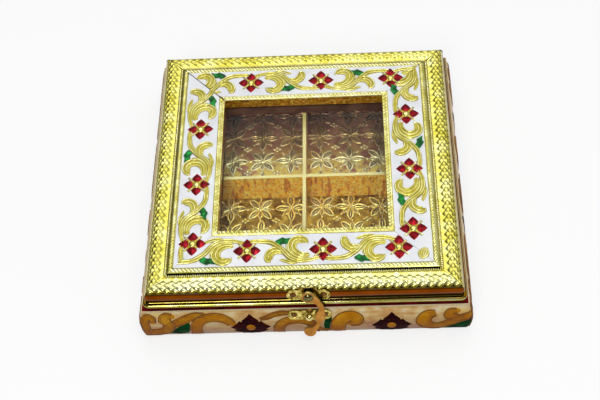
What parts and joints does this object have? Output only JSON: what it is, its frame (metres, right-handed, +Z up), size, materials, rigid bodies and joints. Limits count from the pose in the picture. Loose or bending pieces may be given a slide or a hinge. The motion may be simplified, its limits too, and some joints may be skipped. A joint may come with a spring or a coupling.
{
  "type": "dry fruit box",
  "caption": "Square gift box for dried fruit: a gilt lid with enamelled floral panels and a glass window hinges over a divided tray, closed by a swinging hook clasp.",
  "frame": {"origin": "centre of the underside of the tray", "axes": "+Z up through the lid, -Y towards the clasp, +X to the right seen from the clasp side"},
  "size_m": [0.2056, 0.2115, 0.0432],
  "materials": {
    "fibreboard": "raw fibreboard, mitred and glued",
    "printed_foil_card": "glossy printed and embossed foil card",
    "maroon_paper": "matte maroon flock paper",
    "gold_foil_card": "glossy embossed gold foil card",
    "gold_papered_board": "glossy gold foil paper over board",
    "gilt_moulding": "embossed gilt moulding, glossy lacquer",
    "enamelled_sheet": "glossy enamelled and embossed thin sheet",
    "window_glass": "clear polished glass",
    "maroon_painted_wood": "matte maroon paint",
    "brass_hardware": "stamped brass, lightly polished"
  },
  "bodies": {
    "base": {"base_floor_board": "fibreboard", "base_foil_front": "printed_foil_card", "base_foil_left": "printed_foil_card", "base_foil_rear": "printed_foil_card", "base_foil_right": "printed_foil_card", "base_wall_front": "fibreboard", "base_wall_left": "fibreboard", "base_wall_rear": "fibreboard", "base_wall_right": "fibreboard", "divider_cross": "gold_papered_board", "divider_long": "gold_papered_board", "floor_liner_front_left": "gold_foil_card", "floor_liner_front_right": "gold_foil_card", "floor_liner_rear_left": "gold_foil_card", "floor_liner_rear_right": "gold_foil_card", "hinge_base_screws": "brass_hardware", "hinge_left_base_leaf": "brass_hardware", "hinge_left_pin": "brass_hardware", "hinge_right_base_leaf": "brass_hardware", "hinge_right_pin": "brass_hardware", "keeper_plate": "brass_hardware", "keeper_plate_screws": "brass_hardware", "keeper_stud": "brass_hardware", "rim_trim": "maroon_paper", "wall_liner_front": "gold_foil_card", "wall_liner_left": "gold_foil_card", "wall_liner_rear": "gold_foil_card", "wall_liner_right": "gold_foil_card"},
    "lid": {"clasp_plate": "brass_hardware", "clasp_plate_screws": "brass_hardware", "clasp_rivet": "brass_hardware", "enamel_panel_front": "enamelled_sheet", "enamel_panel_left": "enamelled_sheet", "enamel_panel_rear": "enamelled_sheet", "enamel_panel_right": "enamelled_sheet", "glass_pane": "window_glass", "glazing_strip_front": "maroon_painted_wood", "glazing_strip_left": "maroon_painted_wood", "glazing_strip_rear": "maroon_painted_wood", "glazing_strip_right": "maroon_painted_wood", "hinge_left_lid_leaf": "brass_hardware", "hinge_lid_screws": "brass_hardware", "hinge_right_lid_leaf": "brass_hardware", "lid_lining": "maroon_paper", "lid_rail_front": "gilt_moulding", "lid_rail_left": "gilt_moulding", "lid_rail_rear": "gilt_moulding", "lid_rail_right": "gilt_moulding", "window_bead_front": "gilt_moulding", "window_bead_left": "gilt_moulding", "window_bead_rear": "gilt_moulding", "window_bead_right": "gilt_moulding"},
    "hook": {"clasp_hook": "brass_hardware"}
  },
  "joints": [
    {"name": "lid_hinge", "type": "hinge", "parent": "base", "child": "lid", "pos_m": [0, 0.1006, 0.02585], "axis": [-1, 0, 0], "range_deg": [0, 105]},
    {"name": "hook_pivot", "type": "hinge", "parent": "lid", "child": "hook", "pos_m": [0.0032, -0.0958, 0.03732], "axis": [0, -0.9659, 0.2588], "range_deg": [0, 120]}
  ]
}
